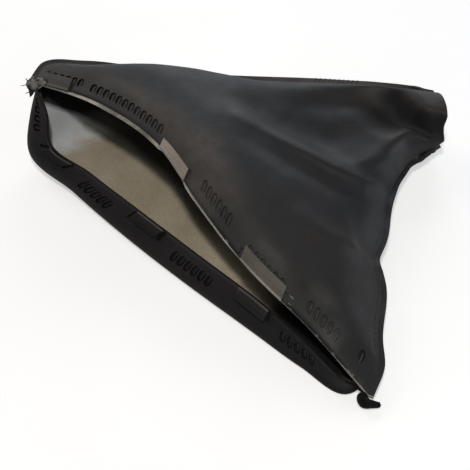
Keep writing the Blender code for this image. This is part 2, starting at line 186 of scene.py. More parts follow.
def curve_through(points, per_span=POINTS_PER_SPAN):
    """Dense points on a smooth curve through the given ones."""
    points = np.asarray(points, float)
    chord = np.linalg.norm(np.diff(points, axis=0), axis=1)
    slope = np.diff(points, axis=0) / chord[:, None]
    tangent = np.empty_like(points)
    tangent[0], tangent[-1] = slope[0], slope[-1]
    weight = (chord[:-1] / (chord[:-1] + chord[1:]))[:, None]
    tangent[1:-1] = slope[:-1] * (1 - weight) + slope[1:] * weight
    dense = [points[:1]]
    for i, length in enumerate(chord):
        t = np.linspace(0, 1, per_span + 1)[1:, None]
        dense.append(
            (2 * t**3 - 3 * t**2 + 1) * points[i]
            + (t**3 - 2 * t**2 + t) * tangent[i] * length
            + (3 * t**2 - 2 * t**3) * points[i + 1]
            + (t**3 - t**2) * tangent[i + 1] * length
        )
    return np.concatenate(dense)


def lengths_along(points):
    """Distance of each point from the first, along the line."""
    return np.concatenate([[0.0], np.cumsum(np.linalg.norm(np.diff(points, axis=0), axis=1))])


def read_at(places, known, values):
    """Values at places along a line where they are known."""
    values = np.asarray(values, float)
    return np.stack([np.interp(places, known, values[:, k]) for k in range(3)], axis=1)


def unit(vectors):
    """Vectors of length one."""
    return vectors / np.linalg.norm(vectors, axis=-1, keepdims=True)


def seam_frames(seam, upper_beside, lower_beside):
    """For each row, the way out of the bag and the way from the lower panel to the upper."""
    tangent = unit(np.gradient(seam, axis=0))
    out = unit(seam - upper_beside) + unit(seam - lower_beside)
    out -= tangent * np.sum(out * tangent, axis=1, keepdims=True)
    out = unit(out)
    over = unit(np.cross(tangent, out))
    over *= np.sign(np.sum(over * (upper_beside - lower_beside), axis=1, keepdims=True))
    return out, over


TOP_OUT, TOP_OVER = seam_frames(TOP_SEAM, UPPER_ROWS[:, 0], LOWER_ROWS[:, 0])
RIGHT_OUT, RIGHT_OVER = seam_frames(RIGHT_SEAM, UPPER_ROWS[:, -1], LOWER_ROWS[:, -1])


def stretched_over(column):
    """Points of one column from the lip to the rim, and the guide row that each is at."""
    line = curve_through(column)
    along = lengths_along(line)
    at_guides = along[::POINTS_PER_SPAN]
    edge, total = at_guides[1], along[-1]
    stations = np.concatenate([
        BAND / BAND_WIDTH * edge,
        np.linspace(edge, total - HEM_LENGTH, BODY_ROWS + 1)[1:],
        np.linspace(total - HEM_LENGTH, total, RIM_ROWS + 1)[1:],
    ])
    return read_at(stations, along, line), np.interp(stations, at_guides, np.arange(len(column)))


def relaxed(grid, rounds):
    """The grid with its small kinks evened out, without shrinking, its corners held."""
    for push in (0.5, -0.52) * rounds:
        for axis in (0, 1):
            g = np.moveaxis(grid, axis, 0)
            wide = np.concatenate([2 * g[:1] - g[1:2], g, 2 * g[-1:] - g[-2:-1]])
            grid = np.moveaxis(g + push * ((wide[:-2] + wide[2:]) / 2 - g), 0, axis)
    return grid


def eased(value):
    """From 0 to 1 with soft ends."""
    value = np.clip(value, 0, 1)
    return value * value * (3 - 2 * value)


def ripple(points, wavelength, seed):
    """Soft unevenness of hide that has lain about, from -1 to 1, the same on each run."""
    draw = np.random.default_rng(seed)
    total = np.zeros(points.shape[:-1])
    for _ in range(UNEVEN_WAVES):
        way = unit(draw.normal(size=3)) * draw.uniform(0.6, 1.6) * 2 * math.pi / wavelength
        total += np.sin(points @ way + draw.uniform(0, 2 * math.pi))
    return total / UNEVEN_WAVES ** 0.5 / 1.6


def outward(grid, side):
    """The way out of the leather at each point of a grid."""
    return unit(np.cross(np.gradient(grid, axis=1), np.gradient(grid, axis=0))) * side


def folds_at(points, folds):
    """How far the folds raise each point."""
    total = np.zeros(points.shape[:-1])
    for line in folds:
        nearest = np.full(total.shape, 1e9)
        width, height = np.ones_like(total), np.zeros_like(total)
        for a, b in zip(np.array(line[:-1], float), np.array(line[1:], float)):
            run = b[:2] - a[:2]
            share = np.clip((points[..., :2] - a[:2]) @ run / (run @ run), 0, 1)
            off = np.linalg.norm(points[..., :2] - a[:2] - share[..., None] * run, axis=-1)
            near = off < nearest
            nearest = np.where(near, off, nearest)
            width = np.where(near, a[2] + share * (b[2] - a[2]), width)
            height = np.where(near, a[3] + share * (b[3] - a[3]), height)
        total += height * np.exp(-(nearest / width) ** 2)
    return total


def leather_grid(rows, columns, side, folds, creases, strip_ends):
    """Outer face of a panel, the guide rows that its rows are at, and the face without its rise.

    The leather rises to the strip's far edge, so that the strip lies flush in it.
    """
    away = side * (LEATHER + PANEL_GAP / 2)
    guide = []
    for i, inner in enumerate(rows):
        line = curve_through([
            TOP_SEAM[i] + TOP_OVER[i] * away, *inner, RIGHT_SEAM[i] + RIGHT_OVER[i] * away,
        ])
        along = lengths_along(line)
        guide.append(read_at(np.linspace(0, along[-1], columns + 1), along, line))
    guide = np.array(guide)
    laid = [stretched_over(guide[:, j]) for j in range(columns + 1)]
    grid = np.array([points for points, _ in laid]).transpose(1, 0, 2)
    from_strip = np.clip(np.arange(len(grid)) / (len(BAND) + FOLD_ROWS), 0, 1)[:, None] ** 2
    grid[..., 2] += folds_at(grid, folds) * from_strip
    body = relaxed(grid, EASING_ROUNDS)
    uneven = sum(height * ripple(body, wave, seed + side) for height, wave, seed in UNEVEN)
    to_left = np.linalg.norm(body - body[:, :1], axis=-1)
    to_right = np.linalg.norm(body - body[:, -1:], axis=-1)
    free = np.clip(np.minimum(to_left, to_right) / HELD_FLAT, 0, 1)
    free *= np.clip((np.arange(len(body)) - len(BAND)) / UNEVEN_ROWS, 0, 1)[:, None]
    body += outward(body, side) * (uneven * free + folds_at(body, creases))[..., None]
    flat = body.copy()
    from_edge = np.array([lengths_along(column) for column in body.transpose(1, 0, 2)]).T
    from_edge -= from_edge[len(BAND) - 1]
    lip = lengths_along(body[0])
    covered = eased((lip - strip_ends[0]) / RISE_END)
    covered = covered * eased((lip[-1] - strip_ends[1] - lip) / RISE_END)
    rise = STRIP_RISE * (1 - eased(from_edge / RISE_RUN)) * covered
    rise *= eased(np.minimum(to_left, to_right) / RISE_BY_SEAM)
    rise[:len(BAND) - 1] = 0
    body += outward(body, side) * rise[..., None]
    ends = (laid[0][1], laid[-1][1])
    for column, step, over, level in (
        (0, 1, TOP_OVER, ends[0]), (columns, -1, RIGHT_OVER, ends[1]),
    ):
        over = unit(read_at(level, np.arange(len(over)), over))
        for n in range(1, columns // SEAM_PART):
            beside = body[:, column + step * n]
            height = np.sum((beside - body[:, column]) * over, axis=1) * side
            beside += over * (side * np.maximum(n * SEAM_OPENING / columns - height, 0))[:, None]
    body[..., 2] = np.maximum(body[..., 2], 0.0)
    return body, ends, flat


def with_margins(body, ends):
    """The grid with the strips of leather beyond the two seam lines."""
    left = unit(read_at(ends[0], np.arange(len(TOP_OUT)), TOP_OUT))
    right = unit(read_at(ends[1], np.arange(len(RIGHT_OUT)), RIGHT_OUT))
    near_rim = eased((np.arange(len(body)) - len(body) + MARGIN_LOSS_FROM) / MARGIN_LOSS_ROWS)
    width = SEAM_MARGIN * (1 - MARGIN_LOSS * near_rim)[:, None]
    before = [body[:, 0] + left * width * share for share in (1, 0.66, 0.33)]
    after = [body[:, -1] + right * width * share for share in (0.33, 0.66, 1)]
    whole = np.stack([*before, *body.transpose(1, 0, 2), *after]).transpose(1, 0, 2)
    whole[..., 2] = np.maximum(whole[..., 2], 0.0)
    return whole


def slab(name, top, under, pockets=(), floor=None):
    """A closed sheet between two grids of points, with pockets sunk in it down to a floor.

    Faces are marked 0 on top, 1 under, 2 round the edges, 3 along the lip and 4 in the pockets.
    """
    rows, columns = top.shape[:2]
    layers = [top, under] if floor is None else [top, under, floor]
    points = np.concatenate([layer.reshape(-1, 3) for layer in layers])
    low = rows * columns
    sunk = np.zeros((rows - 1, columns - 1), bool)
    for i, j in pockets:
        sunk[i, j] = True
    faces, marks = [], []
    for i in range(rows - 1):
        for j in range(columns - 1):
            a, b = i * columns + j, i * columns + j + 1
            c, d = b + columns, a + columns
            level = 2 * low if sunk[i, j] else 0
            faces.append((a + level, b + level, c + level, d + level))
            faces.append((d + low, c + low, b + low, a + low))
            marks += [4 if sunk[i, j] else 0, 1]
            for p, q, k, m in ((a, b, i - 1, j), (b, c, i, j + 1), (c, d, i + 1, j), (d, a, i, j - 1)):
                if not (0 <= k < rows - 1 and 0 <= m < columns - 1):
                    faces.append((q, p, p + low, q + low))
                    marks.append(3 if k < 0 else 2)
                elif sunk[k, m] and not sunk[i, j]:
                    faces.append((q, p, p + 2 * low, q + 2 * low))
                    marks.append(4)
    used = np.unique(np.concatenate([np.array(f) for f in faces]))
    place = np.full(len(points), -1)
    place[used] = np.arange(len(used))
    return closed_piece(name, points[used], [[int(place[v]) for v in f] for f in faces], marks)


def closed_piece(name, points, faces, marks, smooth=True):
    """An object of a closed mesh, from points in the plan's millimetres."""
    mesh = bpy.data.meshes.new(name)
    mesh.from_pydata(((points + PLAN_SHIFT) * 0.001).tolist(), [], faces)
    mesh.polygons.foreach_set("material_index", marks)
    mesh.update()
    outward_first(mesh)
    mesh.polygons.foreach_set("use_smooth", [smooth] * len(mesh.polygons))
    obj = bpy.data.objects.new(name, mesh)
    bpy.context.scene.collection.objects.link(obj)
    return obj


def outward_first(mesh):
    """Turn the faces of a closed mesh so that they look outward."""
    co = np.array([v.co for v in mesh.vertices])
    volume = 0.0
    for face in mesh.polygons:
        corners = co[list(face.vertices)]
        for n in range(1, len(corners) - 1):
            volume += corners[0] @ np.cross(corners[n], corners[n + 1])
    if volume < 0:
        mesh.flip_normals()


def sharp_edges(obj, degrees):
    """Keep the edges that turn by more than the angle crisp."""
    obj.data.set_sharp_from_angle(angle=math.radians(degrees))


class Finish:
    """A material under way: its nodes, and short ways to add to them."""

    def __init__(self, name, roughness=0.5):
        self.material = bpy.data.materials.new(name)
        self.material.use_nodes = True
        self.tree = self.material.node_tree
        self.shader = self.tree.nodes["Principled BSDF"]
        self.shader.inputs["Roughness"].default_value = roughness
        self.place = self.add("ShaderNodeTexCoord").outputs["Object"]

    def add(self, kind, **settings):
        node = self.tree.nodes.new(kind)
        for key, value in settings.items():
            setattr(node, key, value)
        return node

    def join(self, source, target):
        self.tree.links.new(source, target)

    def set(self, **values):
        for key, value in values.items():
            self.shader.inputs[key.replace("_", " ")].default_value = value

    def noise(self, scale, detail=3.0, roughness=0.5, distortion=0.0):
        node = self.add("ShaderNodeTexNoise")
        node.inputs["Scale"].default_value = scale
        node.inputs["Detail"].default_value = detail
        node.inputs["Roughness"].default_value = roughness
        node.inputs["Distortion"].default_value = distortion
        self.join(self.place, node.inputs["Vector"])
        return node.outputs["Fac"]

    def cells(self, scale, feature="F1", place=None):
        node = self.add("ShaderNodeTexVoronoi", feature=feature)
        node.inputs["Scale"].default_value = scale
        self.join(place or self.place, node.inputs["Vector"])
        return node.outputs["Distance"]

    def spread(self, value, low, high, to_low, to_high):
        node = self.add("ShaderNodeMapRange")
        ends = {"From Min": low, "From Max": high, "To Min": to_low, "To Max": to_high}
        for name, number in ends.items():
            node.inputs[name].default_value = number
        self.join(value, node.inputs["Value"])
        return node.outputs["Result"]

    def ramp(self, value, stops):
        node = self.add("ShaderNodeValToRGB")
        points = node.color_ramp.elements
        while len(points) < len(stops):
            points.new(0.5)
        for point, (at, colour) in zip(points, stops):
            point.position = at
            point.color = (*from_srgb(colour), 1)
        self.join(value, node.inputs["Fac"])
        return node.outputs["Color"]

    def blend(self, factor, first, second, kind="MIX"):
        node = self.add("ShaderNodeMix", data_type="RGBA", blend_type=kind)
        for value, socket in ((factor, 0), (first, 6), (second, 7)):
            if isinstance(value, bpy.types.NodeSocket):
                self.join(value, node.inputs[socket])
            elif socket == 0:
                node.inputs[0].default_value = value
            else:
                node.inputs[socket].default_value = (*from_srgb(value), 1)
        return node.outputs[2]

    def maths(self, kind, first, second):
        node = self.add("ShaderNodeMath", operation=kind)
        for n, value in enumerate((first, second)):
            if isinstance(value, bpy.types.NodeSocket):
                self.join(value, node.inputs[n])
            else:
                node.inputs[n].default_value = value
        return node.outputs[0]

    def colour(self, value):
        self.join(value, self.shader.inputs["Base Color"])

    def rough(self, value):
        self.join(value, self.shader.inputs["Roughness"])

    def relief(self, *layers):
        """Bumps laid one on the other: each a height, its strength and its depth in mm."""
        normal = None
        for height, strength, depth in layers:
            node = self.add("ShaderNodeBump")
            node.inputs["Strength"].default_value = strength
            node.inputs["Distance"].default_value = depth * 0.001
            self.join(height, node.inputs["Height"])
            if normal is not None:
                self.join(normal, node.inputs["Normal"])
            normal = node.outputs["Normal"]
        self.join(normal, self.shader.inputs["Normal"])


def from_srgb(colour):
    """A colour written from 0 to 255, as the shader wants it."""
    parts = [c / 255 for c in colour]
    return [c / 12.92 if c <= 0.04045 else ((c + 0.055) / 1.055) ** 2.4 for c in parts]


def mark_painted_light(obj, side):
    """Keep with each point of a mesh how much highlight is painted on it, or below zero how much
    shade.
    """
    points = np.array([v.co for v in obj.data.vertices]) * 1000 - PLAN_SHIFT
    lines = SEAM_PAINTED_HIGHLIGHT + (UPPER_PAINTED_LIGHT_AND_SHADE if side > 0 else LOWER_PAINTED_SHADE)
    mark = obj.data.attributes.new("painted_light_mark", "FLOAT", "POINT")
    mark.data.foreach_set("value", folds_at(points, lines))


def with_painted_light(f, tone, roughness):
    """The tone and roughness of a finish as the marked painted light changes them: paler where a
    highlight is painted, darker and rougher where shade is painted.
    """
    painted_light_mark = f.add("ShaderNodeAttribute", attribute_name="painted_light_mark").outputs["Fac"]
    broken = f.maths("MULTIPLY", painted_light_mark, f.spread(f.noise(150, 5, 0.65), 0.3, 0.7, 0.55, 1.3))
    # Pale warm grey: the painted highlight's colour
    tone = f.blend(f.spread(broken, 0.0, 1.0, 0.0, 0.8), tone, (88, 81, 75))
    # Near black: the painted shade's colour; the finish is also made rougher there
    tone = f.blend(f.spread(broken, -1.0, 0.0, 0.85, 0.0), tone, (7, 8, 11))
    f.colour(tone)
    f.rough(f.maths("ADD", roughness, f.spread(painted_light_mark, -1.0, 0.0, 0.16, 0.0)))


def grained_leather():
    """Black hide with a fine pebbled grain, warmer and cooler in places, a little dusty."""
    f = Finish("black_leather")
    tone = f.ramp(f.noise(14, 2, 0.5), ((0.35, (24, 25, 28)), (0.65, (34, 31, 30))))
    dust = f.spread(f.noise(60, 5, 0.6, 0.4), 0.5, 0.8, 0.0, 0.35)
    dusty = f.blend(dust, tone, (52, 50, 49))
    warp = f.blend(0.0006, f.place, f.add("ShaderNodeTexNoise").outputs["Color"], "ADD")
    pebbles = f.spread(f.cells(820, "DISTANCE_TO_EDGE", warp), 0.0, 0.22, 0.0, 1.0)
    pores = f.noise(3200, 2, 0.6)
    # Painted highlights and painted shade from the marks on the mesh
    with_painted_light(f, dusty, f.spread(f.noise(45, 4, 0.6), 0.3, 0.7, 0.48, 0.62))
    f.relief((f.noise(160, 4, 0.6), 0.25, 0.5), (pebbles, 0.32, 0.09), (pores, 0.2, 0.03))
    f.set(Specular_IOR_Level=0.42, Sheen_Weight=0.05, Sheen_Roughness=0.5)
    return f.material


def flesh_side():
    """The pale, napped underside of the hide, with darker specks and a few brown stains.

    It is painted paler and bluish at the blunt left end, a painted cool light. It turns black at the
    narrow right end, and under the upper lip it is painted black as the lip's shadow, whose edge
    slants down toward the back of the bag.
    """
    f = Finish("flesh_side", 0.92)
    base = f.ramp(f.noise(38, 4, 0.6), ((0.3, (168, 155, 133)), (0.7, (192, 182, 161))))
    stains = f.spread(f.noise(22, 3, 0.6, 0.8), 0.56, 0.74, 0.0, 0.45)
    base = f.blend(stains, base, (142, 120, 102))
    specks = f.spread(f.cells(640), 0.0, 0.28, 0.55, 0.0)
    base = f.blend(specks, base, (118, 108, 96))
    grains = f.spread(f.noise(900, 3, 0.7), 0.35, 0.65, 0.0, 0.4)
    base = f.blend(grains, base, (138, 130, 118))
    uneven = f.spread(f.noise(120, 4, 0.6), 0.3, 0.7, -0.004, 0.004)
    parts = f.add("ShaderNodeSeparateXYZ")
    f.join(f.place, parts.inputs[0])
    along = f.maths("ADD", parts.outputs["X"], uneven)
    # Paler and bluish toward the blunt left end: painted cool light
    base = f.blend(f.spread(along, -0.106, -0.094, 0.8, 0.0), base, (206, 214, 222))
    # Painted shadow of the upper lip on the lining: its edge is level along the mouth and falls by
    # this much for its way to the back
    lip_shadow_slope = 0.836
    slant = f.maths("ADD", parts.outputs["Z"], f.maths("MULTIPLY", parts.outputs["Y"], lip_shadow_slope))
    slant = f.maths("ADD", slant, f.spread(f.noise(60, 3), 0.3, 0.7, 0.0302, 0.0316))
    painted_lip_shadow = f.maths("MULTIPLY", f.spread(slant, -0.001, 0.0028, 0.0, 1.0),
                   f.spread(parts.outputs["Z"], 0.004, 0.014, 0.6, 0.97))
    # Black toward the narrow right end, together with the painted shadow under the upper lip
    black = f.maths("MAXIMUM", f.spread(along, 0.024, 0.056, 0.0, 1.0), painted_lip_shadow)
    f.colour(f.blend(black, base, (15, 13, 13)))
    f.relief((f.noise(700, 4, 0.7), 0.6, 0.25), (f.noise(2600, 2, 0.6), 0.4, 0.08))
    f.set(Specular_IOR_Level=0.2, Sheen_Weight=0.15)
    return f.material


def cut_edge():
    """The raw edge of the hide: fibrous and pale, with dirt rubbed into it in places."""
    f = Finish("cut_edge", 0.85)
    pale = f.ramp(f.noise(900, 4, 0.7), ((0.3, (176, 170, 160)), (0.7, (226, 221, 212))))
    dirt = f.spread(f.noise(30, 4, 0.6, 0.6), 0.46, 0.66, 0.05, 0.75)
    f.colour(f.blend(dirt, pale, (66, 62, 58)))
    f.relief((f.noise(1600, 4, 0.7), 0.6, 0.15))
    f.set(Specular_IOR_Level=0.2)
    return f.material


def dyed_edge():
    """The edge of the hide where the dye has taken: dark brown fibres."""
    f = Finish("dyed_edge", 0.8)
    f.colour(f.ramp(f.noise(900, 4, 0.7), ((0.3, (25, 24, 24)), (0.7, (46, 43, 41)))))
    f.relief((f.noise(1600, 4, 0.7), 0.5, 0.12))
    f.set(Specular_IOR_Level=0.25)
    return f.material


black_leather = grained_leather()
pale_flesh = flesh_side()
raw_edge = cut_edge()
dark_edge = dyed_edge()


def leather_panel(name, node, body, ends, side, lip_slant, lip_finish):
    """A panel as one closed sheet, thicker at the hem, where its grain side turns in.

    Along the lip the cut slants outward by as much as is given at places along it.
    """
    top = with_margins(body, ends)
    rows, columns = top.shape[:2]
    near_rim = np.clip((np.arange(rows) - (rows - RIM_ROWS - 2)) / 2, 0, 1)[:, None]
    across = np.minimum(np.arange(columns), columns - 1 - np.arange(columns))
    inside = np.clip((across - HEM_FROM_COLUMN) / HEM_OVER_COLUMNS, 0, 1)[None, :]
    thick = LEATHER + (HEM - LEATHER) * near_rim * inside
    under = top - outward(top, side) * thick[..., None]
    slant = np.interp(lengths_along(top[0]), *zip(*lip_slant))
    under[0] -= unit(top[1] - top[0]) * slant[:, None]
    if side < 0:
        top, under = top[:, ::-1], under[:, ::-1]
    obj = slab(name, top, under)
    for finish in (black_leather, pale_flesh, dark_edge, lip_finish):
        obj.data.materials.append(finish)
    marks = np.array([p.material_index for p in obj.data.polygons])
    cell = np.cumsum(marks == 0) - 1
    row, column = np.divmod(cell, columns - 1)
    marks[row >= rows - RIM_ROWS - 1] = 0
    marks[(marks == 1) & ((column < DYED_COLUMNS[0]) | (column > columns - DYED_COLUMNS[1]))] = 2
    obj.data.polygons.foreach_set("material_index", marks)
    sharp_edges(obj, SHARP_FOLD)
    mark_painted_light(obj, side)
    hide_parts(node)
    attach(obj, "root")
    return obj


# Lengths of lip that the strip leaves bare, and how far the cut slants out along the lip
UPPER_STRIP_ENDS = (4.0, 4.0)
UPPER_LIP_SLANT = (
    (0, 0.2), (20, 0.3), (34, 0.9), (50, 1.5), (88, 1.5), (91, 0.5), (111, 0.5), (114, 1.2),
    (146, 1.0), (160, 0.4), (245, 0.3),
)
upper_body, upper_ends, upper_flat = leather_grid(
    UPPER_ROWS, UPPER_COLUMNS, 1, UPPER_FOLDS, UPPER_CREASES, UPPER_STRIP_ENDS,
)
upper_panel = leather_panel(
    "upper_panel_leather", "upper_panel", upper_body, upper_ends, 1, UPPER_LIP_SLANT, raw_edge,
)

# Lower panel. The same hide, cut longer at the mouth, where it turns up round the blunt left
# end. It lies on the table under the bag and narrows to the lower half of the collar.
LOWER_COLUMNS = 280
LOWER_STRIP_ENDS = (5.0, 9.0)
LOWER_LIP_SLANT = ((0, 0.3), (250, 0.3))
lower_body, lower_ends, lower_flat = leather_grid(
    LOWER_ROWS, LOWER_COLUMNS, -1, (), (), LOWER_STRIP_ENDS,
)
lower_panel = leather_panel(
    "lower_panel_leather", "lower_panel", lower_body, lower_ends, -1, LOWER_LIP_SLANT, dark_edge,
)

# Upper strip. A moulded band of black plastic on the grain side of the upper lip, thin at its
# two long edges. Groups of oblong slots run through it for the thread and for gripping, and
# three clips stand on it.
# Heights of its top and underside over the leather, by distance from the lip
STRIP_TOP = ((0.0, 0.5), (0.4, 0.82), (1.5, 1.06), (13.0, 1.08), (14.0, 1.055))
STRIP_BED = ((0.0, 0.06), (13.2, 0.06), (14.0, 0.9))
SLOT_PITCH = 4.2
SLOT_HALF_WIDTH = 1.7
SLOT_FROM = 3.7
SLOT_LENGTH = 5.4
SLOT_FLOOR = 0.14
SLOT_STATIONS = (-1.0, -0.86, -0.5, 0.0, 0.5, 0.86, 1.0)
# Rows of the strip's mesh that the slots and the notches are sunk in
SLOT_LINES = (4, 5, 6)
NOTCH_LINES = (1, 2, 3)
# A tongue: half its width, its sides, and its rings as a share of that width and a height
TONGUE_HALF_WIDTH = 0.56
TONGUE_SIDES = 14
TONGUE_RINGS = ((1.0, 0.1), (1.0, 0.66), (0.82, 0.86), (0.4, 0.94))
TONGUE_PLAY = 0.6
TONGUE_ASIDE = 0.3
SHARP_BAND = 35
SHARP_TONGUE = 60


class Lip:
    """The band of a panel along its lip, read by distance along it and across it."""

    def __init__(self, flat, side):
        self.side = side
        self.band = flat[:len(BAND)]
        self.along = lengths_along(self.band[0])
        self.normals = outward(flat, side)[:len(BAND)]

    def read(self, values, along, across):
        columns = [np.stack([np.interp(along, self.along, row[:, k]) for k in range(3)], axis=-1)
                   for row in values]
        columns = np.array(columns)
        # A little short of the last line, so that there is always a next one
        level = np.interp(across, BAND, np.arange(len(BAND)) * 0.9999)
        low = level.astype(int)
        share = (level - low)[..., None]
        pick = np.arange(len(along))
        return columns[low, pick] * (1 - share) + columns[low + 1, pick] * share

    def at(self, along, across, height):
        """Points over the leather; across and height hold one number for each place along."""
        along = np.asarray(along, float)
        across = np.broadcast_to(np.asarray(across, float), along.shape)
        height = np.broadcast_to(np.asarray(height, float), along.shape)
        normal = unit(self.read(self.normals, along, across))
        return self.read(self.band, along, across) + normal * height[:, None]


def moulded_plastic(name, low, high):
    """Black plastic with a fine spark texture, scuffed pale in places."""
    f = Finish(name)
    tone = f.ramp(f.noise(40, 4, 0.6), ((0.3, low), (0.7, high)))
    scuffs = f.spread(f.noise(210, 5, 0.7, 1.2), 0.62, 0.8, 0.0, 0.4)
    scuffed = f.blend(scuffs, tone, tuple(min(255, c + 26) for c in high))
    # Painted highlights and painted shade from the marks on the mesh
    with_painted_light(f, scuffed, f.spread(f.noise(45, 4, 0.6), 0.3, 0.7, 0.48, 0.62))
    f.relief((f.noise(160, 4, 0.6), 0.25, 0.5), (f.noise(820, 2, 0.6), 0.25, 0.06),
             (f.noise(2400, 2, 0.6), 0.25, 0.03))
    f.set(Specular_IOR_Level=0.42)
    return f.material


def round_piece(name, parts, finish):
    """One object from several closed bodies."""
    points, faces, count = [], [], 0
    for some_points, some_faces in parts:
        points.append(some_points)
        faces += [tuple(v + count for v in face) for face in some_faces]
        count += len(some_points)
    obj = closed_piece(name, np.concatenate(points), faces, [0] * len(faces))
    obj.data.materials.append(finish)
    return obj


def tongue(lip, middle, start, length):
    """The low rounded tongue that stands in a slot, free of it but for its foot by the lip."""
    rings = []
    turn = np.linspace(0, 2 * math.pi, TONGUE_SIDES, endpoint=False)
    reach = (length - TONGUE_PLAY) / 2 - TONGUE_HALF_WIDTH
    for size, height in TONGUE_RINGS:
        half = TONGUE_HALF_WIDTH * size
        across = start + length / 2 - TONGUE_PLAY + np.sin(turn) * half + np.sign(np.sin(turn)) * reach
        rings.append(lip.at(middle + TONGUE_ASIDE + np.cos(turn) * half, across, height))
    top = rings[-1].mean(axis=0, keepdims=True)
    foot = rings[0].mean(axis=0, keepdims=True)
    count = len(rings[0])
    faces = []
    for i in range(len(rings) - 1):
        for j in range(count):
            a, b = i * count + j, i * count + (j + 1) % count
            faces.append((a, b, b + count, a + count))
    last = (len(rings) - 1) * count
    for j in range(count):
        faces.append((last + j, last + (j + 1) % count, last + count))
        faces.append(((j + 1) % count, j, last + count + 1))
    return np.concatenate([*rings, top, foot]), faces


def retaining_strip(name, node, lip, groups, notches, ends, finish, tongue_finish, edge):
    """The band with its slots, from one bare end of the lip to the other.

    Each group has the place of its first slot, their number and how far out they are set. The
    notches are short gaps by the lip where the mould was cored beside the clips.
    """
    slots = [(first + n * SLOT_PITCH, out) for first, count, out in groups for n in range(count)]
    middles = [middle for middle, _ in slots]
    places = [ends[0], lip.along[-1] - ends[1]]
    for middle in middles:
        places += [middle + s * SLOT_HALF_WIDTH for s in SLOT_STATIONS]
    places += [end for notch in notches for end in notch]
    fixed = np.array(places)
    places += [p for p in np.arange(ends[0], fixed[1], 1.5) if np.abs(fixed - p).min() > 0.7]
    places = np.sort(np.array(places))
    distance = np.abs(places[:, None] - np.array(middles)[None, :])
    off = np.min(distance, axis=1) / SLOT_HALF_WIDTH
    set_out = np.array([out for _, out in slots])[np.argmin(distance, axis=1)]
    round_end = SLOT_HALF_WIDTH * (1 - np.sqrt(np.clip(1 - off**2, 0, 1)))
    start = SLOT_FROM + set_out + round_end
    finish_at = SLOT_FROM + set_out + SLOT_LENGTH - round_end
    # Lines along the strip, from the lip outward: four, four along the slots, and five beyond
    lines = [np.full(len(places), a) for a in (0.0, 0.4, 1.5, 2.6)]
    lines += [start + (finish_at - start) * share for share in (0, 0.25, 0.75, 1)]
    lines += [finish_at + (12.6 - finish_at) * share for share in (0.34, 0.67, 1)]
    lines += [np.full(len(places), a) for a in (13.3, 14.0)]
    top = np.array([lip.at(places, line, np.interp(line, *zip(*STRIP_TOP))) for line in lines])
    bed = np.array([lip.at(places, line, np.interp(line, *zip(*STRIP_BED))) for line in lines])
    floor = np.array([lip.at(places, line, SLOT_FLOOR) for line in lines])
    between = (places[1:] + places[:-1]) / 2
    holes = [(i, j) for j, p in enumerate(between) for i in SLOT_LINES
             if np.min(np.abs(p - np.array(middles))) < SLOT_HALF_WIDTH]
    holes += [(i, j) for j, p in enumerate(between) for i in NOTCH_LINES
              if any(low < p < high for low, high in notches)]
    if lip.side < 0:
        count = len(places) - 1
        top, bed, floor = top[:, ::-1], bed[:, ::-1], floor[:, ::-1]
        holes = [(i, count - 1 - j) for i, j in holes]
    obj = slab(name, top, bed, holes, floor)
    # The pocket faces take the near-black finish: painted shade in the slots and notches
    for material in (finish, finish, finish, edge, slot_painted_shade):
        obj.data.materials.append(material)
    sharp_edges(obj, SHARP_BAND)
    mark_painted_light(obj, lip.side)
    standing = [tongue(lip, middle, SLOT_FROM + out, SLOT_LENGTH) for middle, out in slots]
    tongues = round_piece(name + "_tongues", standing, tongue_finish)
    sharp_edges(tongues, SHARP_TONGUE)
    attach(tongues, "root")
    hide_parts(node)
    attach(obj, "root")


# Near-black walls and floors for the slots and notches: painted shade in the recesses
slot_painted_shade = moulded_plastic("slot_painted_shade", (5, 5, 5), (9, 9, 9))
upper_lip = Lip(upper_flat, 1)
retaining_strip(
    "upper_strip_band", "upper_strip", upper_lip,
    ((6.2, 6, 0.9), (35.8, 12, 0.0), (122.5, 6, 0.8), (161.0, 6, -1.0), (199.0, 5, 0.4),
     (231.0, 1, 2.5)),
    ((109.7, 112.0), (156.0, 157.8), (185.2, 187.8)), UPPER_STRIP_ENDS,
    moulded_plastic("strip_plastic", (25, 26, 28), (35, 33, 32)),
    moulded_plastic("tongue_plastic", (42, 39, 39), (60, 56, 55)), raw_edge,
)

# Lower strip. The same moulding on the lower lip, blacker and less worn, from the blunt left
# end to a little short of the right corner.
lower_lip = Lip(lower_flat, -1)
retaining_strip(
    "lower_strip_band", "lower_strip", lower_lip,
    ((9.0, 5, 0.0), (67.0, 5, 0.0), (128.5, 6, 0.0), (194.0, 5, 0.0)),
    ((33.8, 35.3), (50.7, 52.4), (95.6, 96.8), (115.2, 117.2), (183.7, 185.2)), LOWER_STRIP_ENDS,
    moulded_plastic("lower_strip_plastic", (22, 20, 21), (33, 30, 31)),
    moulded_plastic("lower_tongue_plastic", (19, 17, 18), (29, 26, 27)), dark_edge,
)

# Clips. Each is a flat plate moulded on the strip. It leaves it at the lip and rises away from
# it, so that the edge of the console snaps in under its far side. Two of the upper plates are
# paler, and the face of each along the lip carries a painted highlight.
CLIP_PROFILE = (
    (-0.4, 0.3), (1.6, 0.3), (2.1, 1.3), (5.7, 2.0), (5.7, 2.9), (3.0, 2.6), (0.6, 2.1), (-0.4, 1.7),
)
CLIP_RINGS = 9
HIGHLIGHT_FACE = 6
CLIP_EASE = 0.00022


